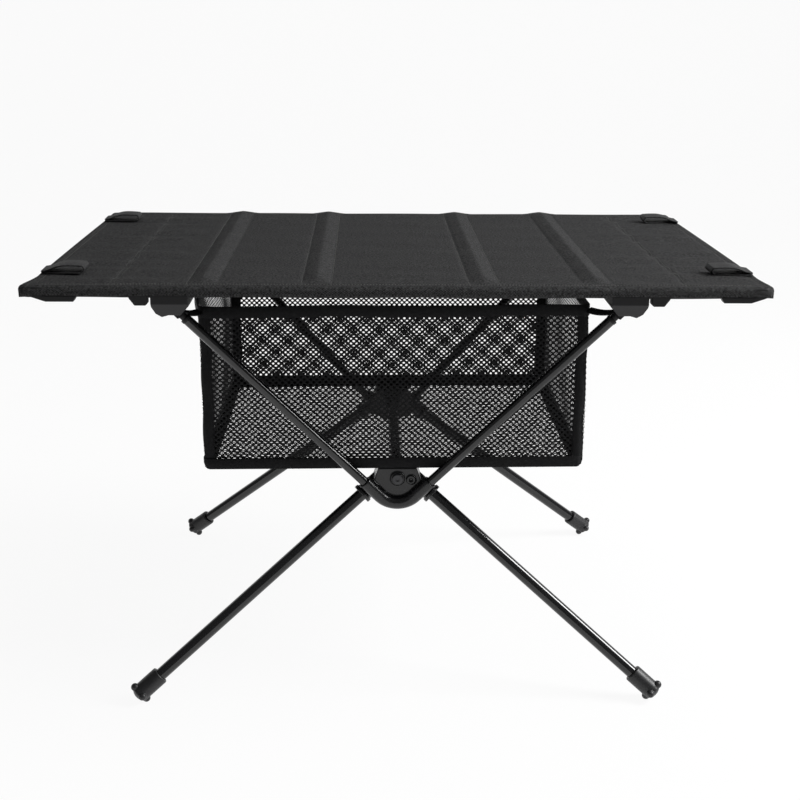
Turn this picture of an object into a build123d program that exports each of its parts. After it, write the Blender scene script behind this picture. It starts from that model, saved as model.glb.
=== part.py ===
"""Folding camp kitchen table: rolled fabric top, crossed pole frame, mesh storage bag.

Millimetres, +Z up, origin on the floor under the middle of the top.
X runs along the top and -Y is the front. Corner pieces are modelled once,
at the front right, and mirrored to the other three corners.
"""

import os
from math import sqrt

from build123d import *

os.makedirs("parts", exist_ok=True)

# Fabric top
top_length = 600
top_depth = 400
top_height = 372  # floor to the flat of the fabric
fabric = 1.2
corner_radius = 9
hem_wall = 0.8
hem_clearance = 0.2
rib_spans = (136, 320)  # across the two inner and the two outer ribs
rib_width = 23
rib_rise = 3.6
batten_width = 16
batten_rise = 2.3
batten_overlap = 3  # how far a batten reaches over the rail axis

# Rails and end rods inside the hems
rail_radius = 4
rail_wall = 0.9
rail_end_gap = 14  # rail end to the end of the top
ferrule_length = 70
rod_radius = 3
rod_wall = 0.7
rod_end_gap = 14  # rod end to the front of the top
tube_clearance = 0.05

# Webbing loops on the side hems
loop_width = 25
loop_reach = 36
loop_rise = 8
loop_tip = 1.6
loop_webbing = 1.3
loop_end_gap = 47.5  # loop edge to the front of the top
loop_side_gap = 3

# Upper poles, from the hub to the rail connectors
arm_root_z = 155
pole_inset_x = 114  # end of the top in to the pole's aiming point
pole_inset_y = 26  # front of the top back to the pole's aiming point
pole_drop = 22  # flat of the fabric down to the pole's aiming point
pole_lean = 40  # how far the pole leans to the front over its height
pole_radius = 4.25
pole_wall = 0.8
pole_seat_start = 25
pole_end_gap = 16.4  # tube end short of the aiming point
nose_radius = 3.3
nose_past = 7.6  # nose end beyond the aiming point
shoulder_length = 2.2
plug_length = 15

# Legs, from the hub to the feet
leg_set_back = 18  # leg's root behind the arm's root
leg_root_z = 195
foot_inset_x = 75.5  # end of the top in to the foot's end
foot_inset_y = 6
leg_radius = 5.5
leg_wall = 1
leg_seat_start = 20
leg_clearance = 0.08

# Rubber feet
foot_radius = 8
foot_length = 23
foot_socket = 18
lobe_radius = 3.5
lobe_circle = 7.7
lobe_count = 4
dome_rise = 3.6

# Hubs
hub_top = 196.5
arm_radius = 6
arm_mouth = 42.5
elbow_radius = 21
leg_socket_radius = 7.6
leg_socket_rim = 9
rim_length = 3.5
leg_mouth = 43
web_reach = 5  # web's face in front of the arm's root
web_depth = 27
web_half_top = 17
web_recess = 3
bar_z = 187
bar_radius = 6
bar_wall = 1
bar_seat = 16
bar_boss_wall = 2.4
bar_boss_length = 14  # behind the web
screw_head = 5.2
screw_head_rise = 2.2
screw_shank = 2
eyelet_x = 12
eyelet_radius = 4
eyelet_bore = 1.8

# Rail connectors, corner blocks and clips under the hems
seat_depth = 1  # how deep the rail lies in a saddle
connector_half = 16
connector_front = 1  # inset from the front of the top
connector_back = 38
connector_riser = 3.2  # gap between the riser and the fabric's flat
pocket_clearance = 0.35
block_length = 42
stub_length = 18
block_drop = 3
clip_length = 15
clip_drop = 6
window_clearance = 0.3
rivet_radius = 1.5

# Mesh storage bag
bag_length = 332
bag_pole_gap = 2  # front of the bag in front of the arm's root
bag_rim_drop = 29  # flat of the fabric down to the bag's rim
bag_wall = 1
bag_corner = 5
tape_width = 10
tape = 0.8
strap_width = 7
strap = 1.2
sleeve_radius = 4.8
sleeve_length = 7.6

# Worked out from the sizes above
half_length = top_length / 2
half_depth = top_depth / 2
hem_radius = rail_radius + hem_clearance + hem_wall
side_hem_radius = rod_radius + hem_clearance + hem_wall
rail_y = half_depth - hem_radius
rail_z = top_height - hem_radius
rod_x = half_length - side_hem_radius
rod_z = top_height - side_hem_radius
pole_top_x = half_length - pole_inset_x
pole_top_y = half_depth - pole_inset_y
arm_root_y = pole_top_y - pole_lean
leg_root_y = arm_root_y - leg_set_back
foot_x = half_length - foot_inset_x
foot_y = half_depth - foot_inset_y
web_front = arm_root_y + web_reach
web_back = web_front - web_depth
bar_boss_end = web_back - bar_boss_length
bag_depth = 2 * (arm_root_y + bag_pole_gap)
rail_half = half_length - rail_end_gap
rod_half = half_depth - rod_end_gap
saddle_top = rail_z - rail_radius + seat_depth
hem_bottom = rail_z - hem_radius
bag_bottom = hub_top
bag_rim = top_height - bag_rim_drop

arm_root = Vector(0, -arm_root_y, arm_root_z)
pole_top = Vector(pole_top_x, -pole_top_y, top_height - pole_drop)
pole_way = (pole_top - arm_root).normalized()
pole_end = (pole_top - arm_root).length - pole_end_gap
nose_end = (pole_top - arm_root).length + nose_past
pole_cross = Vector(1, 0, 0).cross(pole_way).normalized()
arm_plane = Plane(origin=arm_root, x_dir=(1, 0, 0), z_dir=pole_cross)


def lowest_below_axis(way):
    """How far a foot's lowest lobe hangs under the point where its circle's axis ends."""
    return lobe_circle * sqrt(1 - way.Z**2) + lobe_radius


leg_root = Vector(0, -leg_root_y, leg_root_z)
leg_way = Vector(foot_x, leg_root_y - foot_y, -leg_root_z).normalized()
for _ in range(8):
    foot_axis_z = lowest_below_axis(leg_way)
    leg_way = (Vector(foot_x, -foot_y, foot_axis_z) - leg_root).normalized()
leg_length = (Vector(foot_x, -foot_y, foot_axis_z) - leg_root).length
leg_end = leg_length - foot_length + foot_socket


def along(root, way, distance, x_dir=None):
    """A plane across a pole or leg, at a distance from where its axis starts."""
    return Plane(origin=root + way * distance, x_dir=x_dir, z_dir=way)


def save_pair(piece, name):
    """Write the front piece and its mirror image at the back."""
    for end in ("front", "back"):
        with BuildPart() as placed:
            add(piece)
            if end == "back":
                mirror(about=Plane.XZ, mode=Mode.REPLACE)
        placed.part.label = name.format(end)
        export_step(placed.part, f"parts/{name.format(end)}.step")


def save_corners(piece, name):
    """Write the front right piece and its mirror images at the other corners."""
    for end in ("front", "back"):
        for side in ("right", "left"):
            with BuildPart() as placed:
                add(piece)
                if side == "left":
                    mirror(about=Plane.YZ, mode=Mode.REPLACE)
                if end == "back":
                    mirror(about=Plane.XZ, mode=Mode.REPLACE)
            placed.part.label = f"{name}_{end}_{side}"
            export_step(placed.part, f"parts/{name}_{end}_{side}.step")


# Hub: an elbow with two arms in front, two leg sockets behind and a web between them
with BuildPart() as hub:
    arm_x = arm_mouth * pole_way.X
    arm_y = arm_mouth * sqrt(1 - pole_way.X**2)
    with BuildLine(arm_plane) as elbow:
        FilletPolyline((-arm_x, arm_y), (0, 0), (arm_x, arm_y), radius=elbow_radius)
    with BuildSketch(Plane(origin=elbow.line @ 0, z_dir=elbow.line % 0)):
        Circle(arm_radius)
    sweep(path=elbow.line)
    with BuildSketch(Plane.XZ.offset(web_back)) as web_outline:
        with BuildLine():
            Polyline(
                (-web_half_top, hub_top),
                (-arm_x + 4, leg_root_z - leg_mouth / 2),
                (0, arm_root_z + arm_radius),
                (arm_x - 4, leg_root_z - leg_mouth / 2),
                (web_half_top, hub_top),
                close=True,
            )
        make_face()
    extrude(amount=web_front - web_recess - web_back)
    for side in (1, -1):
        way = Vector(side * leg_way.X, leg_way.Y, leg_way.Z)
        with BuildSketch(along(leg_root, way, 0)):
            Circle(leg_socket_radius)
        extrude(amount=leg_mouth)
        with BuildSketch(along(leg_root, way, leg_mouth - rim_length)):
            Circle(leg_socket_rim)
        extrude(amount=rim_length)
    with BuildSketch(Plane.XZ.offset(bar_boss_end)):
        with Locations((0, bar_z)):
            Circle(bar_radius + bar_boss_wall)
    extrude(amount=web_back - bar_boss_end + 2)
    split(bisect_by=Plane.XY.offset(hub_top), keep=Keep.BOTTOM)
    with BuildSketch(Plane.XZ.offset(web_front - web_recess)):
        with Locations((0, bar_z)):
            Circle(screw_head + 1)
        with Locations((eyelet_x, bar_z - 1)):
            Circle(eyelet_radius)
            Circle(eyelet_bore, mode=Mode.SUBTRACT)
    extrude(amount=web_recess / 2)
    for side in (1, -1):
        way = Vector(side * leg_way.X, leg_way.Y, leg_way.Z)
        with BuildSketch(along(leg_root, way, leg_seat_start)):
            Circle(leg_radius + leg_clearance)
        extrude(amount=leg_mouth, mode=Mode.SUBTRACT)
        way = Vector(side * pole_way.X, pole_way.Y, pole_way.Z)
        with BuildSketch(along(arm_root, way, pole_seat_start)):
            Circle(pole_radius + tube_clearance)
        extrude(amount=arm_mouth, mode=Mode.SUBTRACT)
    with BuildSketch(Plane.XZ.offset(bar_boss_end)):
        with Locations((0, bar_z)):
            Circle(bar_radius + tube_clearance)
    extrude(amount=bar_seat, mode=Mode.SUBTRACT)
    with BuildSketch(Plane.XZ.offset(bar_boss_end)):
        with Locations((0, bar_z)):
            Circle(screw_shank + tube_clearance)
    extrude(amount=web_front, mode=Mode.SUBTRACT)
save_pair(hub.part, "{}_hub")

# Crossbar between the hubs, with a threaded plug in each end
bar_end = bar_boss_end + bar_seat - tube_clearance
with BuildPart() as crossbar:
    with BuildSketch(Plane.XZ):
        with Locations((0, bar_z)):
            Circle(bar_radius)
            Circle(bar_radius - bar_wall, mode=Mode.SUBTRACT)
    extrude(amount=bar_end, both=True)
crossbar.part.label = "crossbar"
export_step(crossbar.part, "parts/crossbar.step")

with BuildPart() as bar_plug:
    with BuildSketch(Plane.XZ.offset(bar_end - plug_length)):
        with Locations((0, bar_z)):
            Circle(bar_radius - bar_wall - tube_clearance)
            Circle(screw_shank + tube_clearance, mode=Mode.SUBTRACT)
    extrude(amount=plug_length)
save_pair(bar_plug.part, "crossbar_plug_{}")

with BuildPart() as hub_screw:
    head_y = web_front - web_recess / 2
    with BuildSketch(Plane.XZ.offset(bar_end - plug_length)):
        with Locations((0, bar_z)):
            Circle(screw_shank)
    extrude(amount=head_y - bar_end + plug_length)
    with BuildSketch(Plane.XZ.offset(head_y)):
        with Locations((0, bar_z)):
            Circle(screw_head)
    extrude(amount=screw_head_rise)
    fillet(hub_screw.faces().sort_by(Axis.Y)[0].edges(), screw_head_rise * 0.6)
    with BuildSketch(Plane.XZ.offset(head_y + screw_head_rise)):
        with Locations((0, bar_z)):
            RegularPolygon(screw_shank, 6)
    extrude(amount=-screw_head_rise * 0.6, mode=Mode.SUBTRACT)
save_pair(hub_screw.part, "hub_screw_{}")

# Upper poles and the nylon tips in their top ends
with BuildPart() as upper_pole:
    with BuildSketch(along(arm_root, pole_way, pole_seat_start + tube_clearance)):
        Circle(pole_radius)
        Circle(pole_radius - pole_wall, mode=Mode.SUBTRACT)
    extrude(amount=pole_end - pole_seat_start - tube_clearance)
save_corners(upper_pole.part, "upper_pole")

with BuildPart() as pole_tip:
    with BuildSketch(along(arm_root, pole_way, pole_end - plug_length)):
        Circle(pole_radius - pole_wall - tube_clearance)
    extrude(amount=plug_length)
    with BuildSketch(along(arm_root, pole_way, pole_end)):
        Circle(pole_radius + 0.35)
    extrude(amount=shoulder_length)
    with BuildSketch(along(arm_root, pole_way, pole_end)):
        Circle(nose_radius)
    extrude(amount=nose_end - pole_end)
    nose_face = pole_tip.faces().filter_by(lambda f: abs(f.normal_at().dot(pole_way)) > 0.99)
    fillet(nose_face.sort_by(Axis.X)[-1].edges(), nose_radius * 0.6)
save_corners(pole_tip.part, "pole_tip")

# Legs and their rubber feet
with BuildPart() as leg_tube:
    with BuildSketch(along(leg_root, leg_way, leg_seat_start + leg_clearance)):
        Circle(leg_radius)
        Circle(leg_radius - leg_wall, mode=Mode.SUBTRACT)
    extrude(amount=leg_end - leg_seat_start - leg_clearance)
save_corners(leg_tube.part, "leg_tube")

foot_start = leg_length - foot_length
down_across = Vector(0, 0, -1) + leg_way * leg_way.Z
dome_base = foot_length + lobe_radius / 2
dome_radius = (foot_radius**2 + dome_rise**2) / (2 * dome_rise)
dome_side = foot_radius / sqrt(2 + 2 * sqrt(1 - (foot_radius / dome_radius) ** 2))
with BuildPart() as foot:
    foot_plane = along(leg_root, leg_way, foot_start, down_across)
    with BuildSketch(Plane(origin=foot_plane.origin, x_dir=foot_plane.x_dir, z_dir=-foot_plane.y_dir)):
        with BuildLine():
            Polyline(
                (0, dome_base + dome_rise),
                (0, 0),
                (foot_radius - 0.8, 0),
                (foot_radius, 0.8),
                (foot_radius, dome_base),
            )
            ThreePointArc(
                (foot_radius, dome_base),
                (dome_side, dome_base + dome_rise - dome_radius + sqrt(dome_radius**2 - dome_side**2)),
                (0, dome_base + dome_rise),
            )
        make_face()
    revolve(axis=Axis(foot_plane.origin, leg_way))
    with Locations(along(leg_root, leg_way, leg_length, down_across)):
        with PolarLocations(lobe_circle, lobe_count):
            Sphere(lobe_radius, rotation=(90, 0, 0))
    with BuildSketch(foot_plane):
        Circle(leg_radius + tube_clearance)
    extrude(amount=foot_socket + tube_clearance, mode=Mode.SUBTRACT)
save_corners(foot.part, "foot")


def gable(width, rise, base):
    """A shallow ridge across X: two slopes, a narrow crown and a flat base."""
    with BuildSketch(Plane.XZ, mode=Mode.PRIVATE) as section:
        with BuildLine():
            Polyline(
                (-width / 2, base),
                (-width / 7, base + rise),
                (width / 7, base + rise),
                (width / 2, base),
                close=True,
            )
        make_face()
    return section.sketch


# Fabric top: a flat panel, a hem round each edge and four raised batten sleeves
batten_half = rail_y + batten_overlap
rib_places = [sign * span / 2 for span in rib_spans for sign in (-1, 1)]
with BuildPart() as top_fabric:
    with BuildSketch(Plane.XY.offset(top_height)):
        RectangleRounded(top_length, top_depth, corner_radius)
    extrude(amount=-fabric)
    with BuildSketch(Plane.YZ):
        for sign in (-1, 1):
            with Locations((sign * rail_y, rail_z)):
                Circle(hem_radius)
    extrude(amount=rail_half, both=True)
    with BuildSketch(Plane.XZ):
        for sign in (-1, 1):
            with Locations((sign * rod_x, rod_z)):
                Circle(side_hem_radius)
    extrude(amount=rod_half, both=True)
    for x in rib_places:
        with BuildSketch(Plane.XZ):
            with Locations((x, 0)):
                add(gable(rib_width, rib_rise, top_height))
        extrude(amount=batten_half + hem_wall, both=True)
    for x in rib_places:
        with BuildSketch(Plane.XZ):
            with Locations((x, 0)):
                add(gable(batten_width + 2 * hem_clearance, batten_rise + hem_clearance, top_height))
        extrude(amount=batten_half + hem_clearance, both=True, mode=Mode.SUBTRACT)
    with BuildSketch(Plane.YZ):
        for sign in (-1, 1):
            with Locations((sign * rail_y, rail_z)):
                Circle(rail_radius + hem_clearance)
    extrude(amount=half_length, both=True, mode=Mode.SUBTRACT)
    with BuildSketch(Plane.XZ):
        for sign in (-1, 1):
            with Locations((sign * rod_x, rod_z)):
                Circle(rod_radius + hem_clearance)
    extrude(amount=half_depth, both=True, mode=Mode.SUBTRACT)
    window_spans = (
        (pole_top_x - connector_half, pole_top_x + connector_half + clip_length + window_clearance),
        (rail_half - block_length + rail_end_gap, half_length),
    )
    with BuildSketch(Plane.XY.offset(saddle_top + window_clearance)):
        for near, far in window_spans:
            for sign_x in (-1, 1):
                for sign_y in (-1, 1):
                    with Locations((sign_x * (near + far) / 2, sign_y * half_depth)):
                        Rectangle(far - near + 2 * window_clearance, 2 * rod_end_gap)
    extrude(amount=-2 * hem_radius, mode=Mode.SUBTRACT)
top_fabric.part.label = "top_fabric"
export_step(top_fabric.part, "parts/top_fabric.step")

# Battens in the sleeves
for number, x in enumerate(sorted(rib_places), start=1):
    with BuildPart() as batten:
        with BuildSketch(Plane.XZ):
            with Locations((x, 0)):
                add(gable(batten_width, batten_rise, top_height))
        extrude(amount=batten_half, both=True)
    batten.part.label = f"rib_batten_{number}"
    export_step(batten.part, f"parts/rib_batten_{number}.step")

# Rails in the long hems: two halves over a ferrule, and the rods in the side hems
for side, sign in (("left", -1), ("right", 1)):
    with BuildPart() as half_rail:
        with BuildSketch(Plane.YZ.offset(sign * tube_clearance)):
            with Locations((-rail_y, rail_z)):
                Circle(rail_radius)
                Circle(rail_radius - rail_wall, mode=Mode.SUBTRACT)
        extrude(amount=sign * (rail_half - tube_clearance))
    save_pair(half_rail.part, "{}_rail_" + side)

with BuildPart() as rail_ferrule:
    with BuildSketch(Plane.YZ):
        with Locations((-rail_y, rail_z)):
            Circle(rail_radius - rail_wall - tube_clearance)
    extrude(amount=ferrule_length / 2, both=True)
save_pair(rail_ferrule.part, "{}_rail_ferrule")

for side, sign in (("left", -1), ("right", 1)):
    with BuildPart() as end_rod:
        with BuildSketch(Plane.XZ):
            with Locations((sign * rod_x, rod_z)):
                Circle(rod_radius)
                Circle(rod_radius - rod_wall, mode=Mode.SUBTRACT)
        extrude(amount=rod_half, both=True)
    end_rod.part.label = f"{side}_end_rod"
    export_step(end_rod.part, f"parts/{side}_end_rod.step")

# Rail connectors: a saddle under the rail and a pocket, open below, for the pole's nose
connector_left = pole_top_x - connector_half
connector_right = pole_top_x + connector_half - 2
pocket_bottom = pole_top.Z - 4
with BuildPart() as connector:
    with BuildSketch(Plane.XZ.offset(half_depth)):
        with BuildLine():
            Polyline(
                (connector_left, top_height),
                (connector_left, pocket_bottom + 9),
                (connector_left + 7.5, pocket_bottom),
                (pole_top_x + 1, pocket_bottom),
                (pole_top_x + 7, pocket_bottom - 2),
                (connector_right - 2.5, pocket_bottom + 1.5),
                (connector_right, pocket_bottom + 8),
                (connector_right, top_height),
                close=True,
            )
        make_face()
    extrude(amount=-connector_back)
    with BuildSketch(Plane.YZ):
        with BuildLine():
            Polyline(
                (connector_front - half_depth, saddle_top),
                (connector_front - half_depth, saddle_top - 7),
                (connector_front - half_depth + 12, pocket_bottom - 3),
                (connector_back - half_depth, pocket_bottom - 3),
                (connector_back - half_depth, top_height - connector_riser - 2),
                (connector_back - half_depth - 2, top_height - connector_riser),
                (2 * hem_radius + window_clearance - half_depth, top_height - connector_riser),
                (2 * hem_radius + window_clearance - half_depth, saddle_top),
                close=True,
            )
        make_face()
    extrude(amount=half_length, mode=Mode.INTERSECT)
    with BuildSketch(Plane.YZ):
        with Locations((-rail_y, rail_z)):
            Circle(rail_radius)
    extrude(amount=half_length, mode=Mode.SUBTRACT)
    down_slot = Vector(0, 0, -1) + pole_way * pole_way.Z
    sleeve_end = pole_end + shoulder_length + tube_clearance + sleeve_length
    for radius, reach in ((nose_radius, nose_end), (sleeve_radius, sleeve_end)):
        pocket = along(arm_root, pole_way, reach + pocket_clearance, down_slot)
        with BuildSketch(pocket):
            with Locations((connector_back / 2, 0)):
                SlotCenterToCenter(connector_back, 2 * (radius + pocket_clearance))
        extrude(amount=-connector_back, mode=Mode.SUBTRACT)
save_corners(connector.part, "rail_connector")

# Corner blocks: a saddle under the rail's end and a stub into each tube
with BuildPart() as block:
    block_left = rail_half - block_length + rail_end_gap
    block_right = half_length - hem_wall
    with BuildSketch(Plane.XZ.offset(half_depth - hem_wall)):
        with BuildLine():
            Polyline(
                (block_left, saddle_top),
                (block_left + 3, hem_bottom - block_drop),
                (block_right - 16, hem_bottom - block_drop),
                (block_right - 4, hem_bottom + 1),
                (block_right, hem_bottom + 3),
                (block_right, top_height - fabric),
                (rail_half, top_height - fabric),
                (rail_half, saddle_top),
                close=True,
            )
        make_face()
    extrude(amount=-2 * hem_radius + hem_wall)
    with BuildSketch(Plane.XY.offset(saddle_top)):
        with Locations((block_right, -half_depth + hem_wall)):
            Rectangle(
                block_right - rail_half,
                rod_end_gap - hem_wall,
                align=(Align.MAX, Align.MIN),
            )
    extrude(amount=top_height - fabric - saddle_top)
    upright = block.edges().filter_by(Axis.Z).sort_by(lambda e: e.center().X - e.center().Y)[-1]
    fillet(upright, corner_radius - 3)
    with BuildSketch(Plane.YZ.offset(rail_half)):
        with Locations((-rail_y, rail_z)):
            Circle(rail_radius)
    extrude(amount=-block_length, mode=Mode.SUBTRACT)
    with BuildSketch(Plane.YZ.offset(rail_half)):
        with Locations((-rail_y, rail_z)):
            Circle(rail_radius - rail_wall - tube_clearance)
    extrude(amount=-stub_length)
    with BuildSketch(Plane.XZ.offset(rod_half)):
        with Locations((rod_x, rod_z)):
            Circle(rod_radius - rod_wall - tube_clearance)
    extrude(amount=-stub_length)
save_corners(block.part, "corner_block")

# Clips under the hem beside each connector
with BuildPart() as clip:
    clip_left = pole_top_x + connector_half + window_clearance
    with BuildSketch(Plane.XZ.offset(half_depth - connector_front)):
        with BuildLine():
            Polyline(
                (clip_left, saddle_top),
                (clip_left, hem_bottom - clip_drop + 1.5),
                (clip_left + 1.5, hem_bottom - clip_drop),
                (clip_left + clip_length - 4.5, hem_bottom - clip_drop),
                (clip_left + clip_length, hem_bottom),
                (clip_left + clip_length, saddle_top),
                close=True,
            )
        make_face()
    extrude(amount=-2 * hem_radius + connector_front)
    with BuildSketch(Plane.YZ):
        with Locations((-rail_y, rail_z)):
            Circle(rail_radius)
    extrude(amount=half_length, mode=Mode.SUBTRACT)
save_corners(clip.part, "rail_clip")

# Webbing loops: a folded strip, closed fold inwards, sewn down at the side hem
fold_radius = loop_rise / 2
loop_edge = half_length - loop_side_gap
with BuildPart() as loop:
    with BuildSketch(Plane.XZ.offset(half_depth - loop_end_gap)):
        with Locations((loop_edge - loop_reach + fold_radius, top_height + fold_radius)):
            Circle(fold_radius)
        with Locations((loop_edge - loop_tip, top_height + loop_tip)):
            Circle(loop_tip)
        make_hull()
        with BuildSketch(mode=Mode.PRIVATE) as hollow:
            with Locations((loop_edge - loop_reach + fold_radius, top_height + fold_radius)):
                Circle(fold_radius - loop_webbing)
            with Locations((loop_edge - loop_tip, top_height + loop_tip)):
                Circle(loop_tip - loop_webbing)
            make_hull()
        add(hollow.sketch, mode=Mode.SUBTRACT)
    extrude(amount=-loop_width)
save_corners(loop.part, "corner_loop")

# Mesh bag: open-topped, standing on the hubs, taped round its rim and base
with BuildPart() as storage_bag:
    with BuildSketch(Plane.XY.offset(bag_bottom)):
        RectangleRounded(bag_length, bag_depth, bag_corner)
    extrude(amount=bag_rim - bag_bottom)
    with BuildSketch(Plane.XY.offset(bag_bottom + bag_wall)):
        RectangleRounded(bag_length - 2 * bag_wall, bag_depth - 2 * bag_wall, bag_corner - bag_wall)
    extrude(amount=bag_rim, mode=Mode.SUBTRACT)
storage_bag.part.label = "storage_bag"
export_step(storage_bag.part, "parts/storage_bag.step")

for place, low in (("rim", bag_rim - tape_width), ("base", bag_bottom)):
    with BuildPart() as bag_tape:
        with BuildSketch(Plane.XY.offset(low)):
            RectangleRounded(bag_length + 2 * tape, bag_depth + 2 * tape, bag_corner + tape)
            RectangleRounded(bag_length, bag_depth, bag_corner, mode=Mode.SUBTRACT)
        extrude(amount=tape_width)
    bag_tape.part.label = f"bag_{place}_tape"
    export_step(bag_tape.part, f"parts/bag_{place}_tape.step")

# Corner straps: a sleeve of webbing slipped over the pole's nose, and its tail to the rim
sleeve_start = pole_end + shoulder_length + tube_clearance
tail_end = arm_root + pole_way * (sleeve_start + sleeve_length / 2)
tail_start = Vector(bag_length / 2 - bag_corner, -bag_depth / 2, bag_rim - tape_width / 2)
tail_way = (tail_end - tail_start).normalized()
with BuildPart() as bag_strap:
    with BuildSketch(along(arm_root, pole_way, sleeve_start)):
        Circle(sleeve_radius)
    extrude(amount=sleeve_length)
    with BuildSketch(Plane(origin=tail_end, x_dir=pole_way, z_dir=-tail_way)):
        Rectangle(strap_width, strap)
    extrude(amount=(tail_end - tail_start).length)
    with BuildSketch(along(arm_root, pole_way, sleeve_start)):
        Circle(nose_radius + tube_clearance)
    extrude(amount=sleeve_length, both=True, mode=Mode.SUBTRACT)
    with BuildSketch(along(arm_root, pole_way, sleeve_start)):
        Circle(sleeve_radius)
    extrude(amount=-sleeve_length, mode=Mode.SUBTRACT)
    with BuildSketch():
        outer_tape = 2 * (tape + tube_clearance)
        RectangleRounded(bag_length + outer_tape, bag_depth + outer_tape, bag_corner + tape)
    extrude(amount=top_height, mode=Mode.SUBTRACT)
save_corners(bag_strap.part, "bag_strap")
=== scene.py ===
"""Camp kitchen table: aluminium pole frame, mesh storage bag, rolled cloth top."""
import math
import random

import bpy
import bmesh
from mathutils import Matrix, Vector, noise


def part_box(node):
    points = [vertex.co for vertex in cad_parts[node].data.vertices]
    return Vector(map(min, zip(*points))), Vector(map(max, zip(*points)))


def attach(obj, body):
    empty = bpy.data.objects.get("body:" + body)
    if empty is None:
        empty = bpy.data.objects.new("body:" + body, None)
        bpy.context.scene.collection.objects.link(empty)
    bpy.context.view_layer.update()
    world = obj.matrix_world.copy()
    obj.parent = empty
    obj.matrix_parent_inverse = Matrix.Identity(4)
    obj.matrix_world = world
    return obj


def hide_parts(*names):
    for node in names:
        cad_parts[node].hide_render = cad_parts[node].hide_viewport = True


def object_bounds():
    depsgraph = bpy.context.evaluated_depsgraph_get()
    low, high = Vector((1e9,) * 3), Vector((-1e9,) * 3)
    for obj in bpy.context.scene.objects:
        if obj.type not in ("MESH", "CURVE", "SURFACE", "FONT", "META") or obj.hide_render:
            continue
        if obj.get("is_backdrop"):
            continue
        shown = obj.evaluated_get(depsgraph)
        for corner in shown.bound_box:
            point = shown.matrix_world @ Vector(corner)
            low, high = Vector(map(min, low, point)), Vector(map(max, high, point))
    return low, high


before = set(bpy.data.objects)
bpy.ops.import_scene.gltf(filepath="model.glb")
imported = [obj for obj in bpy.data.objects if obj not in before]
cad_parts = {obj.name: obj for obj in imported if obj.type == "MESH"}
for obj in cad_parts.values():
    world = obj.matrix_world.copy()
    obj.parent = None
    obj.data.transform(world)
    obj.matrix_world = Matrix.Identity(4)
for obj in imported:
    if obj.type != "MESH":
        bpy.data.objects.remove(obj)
cad_box = [list(corner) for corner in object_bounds()]
random.seed(7)

# ---------------------------------------------------------------- Poles, legs and crossbar
# Drawn aluminium tube, black anodised and dyed, with a smooth gloss. The upper poles and the
# legs are cut to length and pushed into the hubs. The crossbar ties the two hubs together.


def socket_value(node, name, value):
    node.inputs[name].default_value = value


def new_material(name, base, roughness, metallic=0.0):
    """A material with one Principled shader, and its node tree."""
    material = bpy.data.materials.new(name)
    material.use_nodes = True
    tree = material.node_tree
    shader = tree.nodes["Principled BSDF"]
    socket_value(shader, "Base Color", (*base, 1.0))
    socket_value(shader, "Roughness", roughness)
    socket_value(shader, "Metallic", metallic)
    return material, tree, shader


def new_effect(name, values, results):
    """An empty shader node group with float inputs and outputs."""
    group = bpy.data.node_groups.new(name, "ShaderNodeTree")
    for label, value in values:
        socket = group.interface.new_socket(label, in_out="INPUT", socket_type="NodeSocketFloat")
        socket.default_value = value
    for label in results:
        group.interface.new_socket(label, in_out="OUTPUT", socket_type="NodeSocketFloat")
    entry = group.nodes.new("NodeGroupInput")
    leave = group.nodes.new("NodeGroupOutput")
    return group, entry, leave


def place_effect(tree, group, **values):
    node = tree.nodes.new("ShaderNodeGroup")
    node.node_tree = group
    for label, value in values.items():
        socket_value(node, label.replace("_", " "), value)
    return node


def node_at(tree, kind, **settings):
    node = tree.nodes.new(kind)
    for key, value in settings.items():
        setattr(node, key, value)
    return node


def maths(tree, operation, first, second):
    """A Math node whose inputs are sockets or plain numbers."""
    node = node_at(tree, "ShaderNodeMath", operation=operation)
    for place, value in enumerate((first, second)):
        if isinstance(value, (int, float)):
            node.inputs[place].default_value = value
        else:
            tree.links.new(value, node.inputs[place])
    return node.outputs[0]


def tint_between(tree, shader, mask, low, high):
    """Base colour that runs from one colour to another with a mask."""
    mix = node_at(tree, "ShaderNodeMix", data_type="RGBA")
    mix.inputs["A"].default_value = (*low, 1.0)
    mix.inputs["B"].default_value = (*high, 1.0)
    tree.links.new(mask, mix.inputs["Factor"])
    tree.links.new(mix.outputs["Result"], shader.inputs["Base Color"])


def raise_surface(tree, shader, height, distance, strength=1.0):
    bump = node_at(tree, "ShaderNodeBump")
    bump.inputs["Distance"].default_value = distance
    bump.inputs["Strength"].default_value = strength
    tree.links.new(height, bump.inputs["Height"])
    tree.links.new(bump.outputs["Normal"], shader.inputs["Normal"])


def handling_effect():
    """Fingermarks and fine dust: a slow cloud and a fast grain, mixed."""
    group, entry, leave = new_effect(
        "handling_marks", [("Cloud Scale", 30.0), ("Grain Scale", 900.0), ("Grain Part", 0.3)],
        ["Mask", "Grain"])
    where = node_at(group, "ShaderNodeTexCoord").outputs["Object"]
    cloud = node_at(group, "ShaderNodeTexNoise")
    grain = node_at(group, "ShaderNodeTexNoise")
    for texture, label in ((cloud, "Cloud Scale"), (grain, "Grain Scale")):
        group.links.new(where, texture.inputs["Vector"])
        group.links.new(entry.outputs[label], texture.inputs["Scale"])
    cloud_part = maths(group, "SUBTRACT", 1.0, entry.outputs["Grain Part"])
    slow = maths(group, "MULTIPLY", cloud.outputs["Fac"], cloud_part)
    fast = maths(group, "MULTIPLY", grain.outputs["Fac"], entry.outputs["Grain Part"])
    group.links.new(maths(group, "ADD", slow, fast), leave.inputs["Mask"])
    group.links.new(grain.outputs["Fac"], leave.inputs["Grain"])
    return group


handling_marks = handling_effect()


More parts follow.
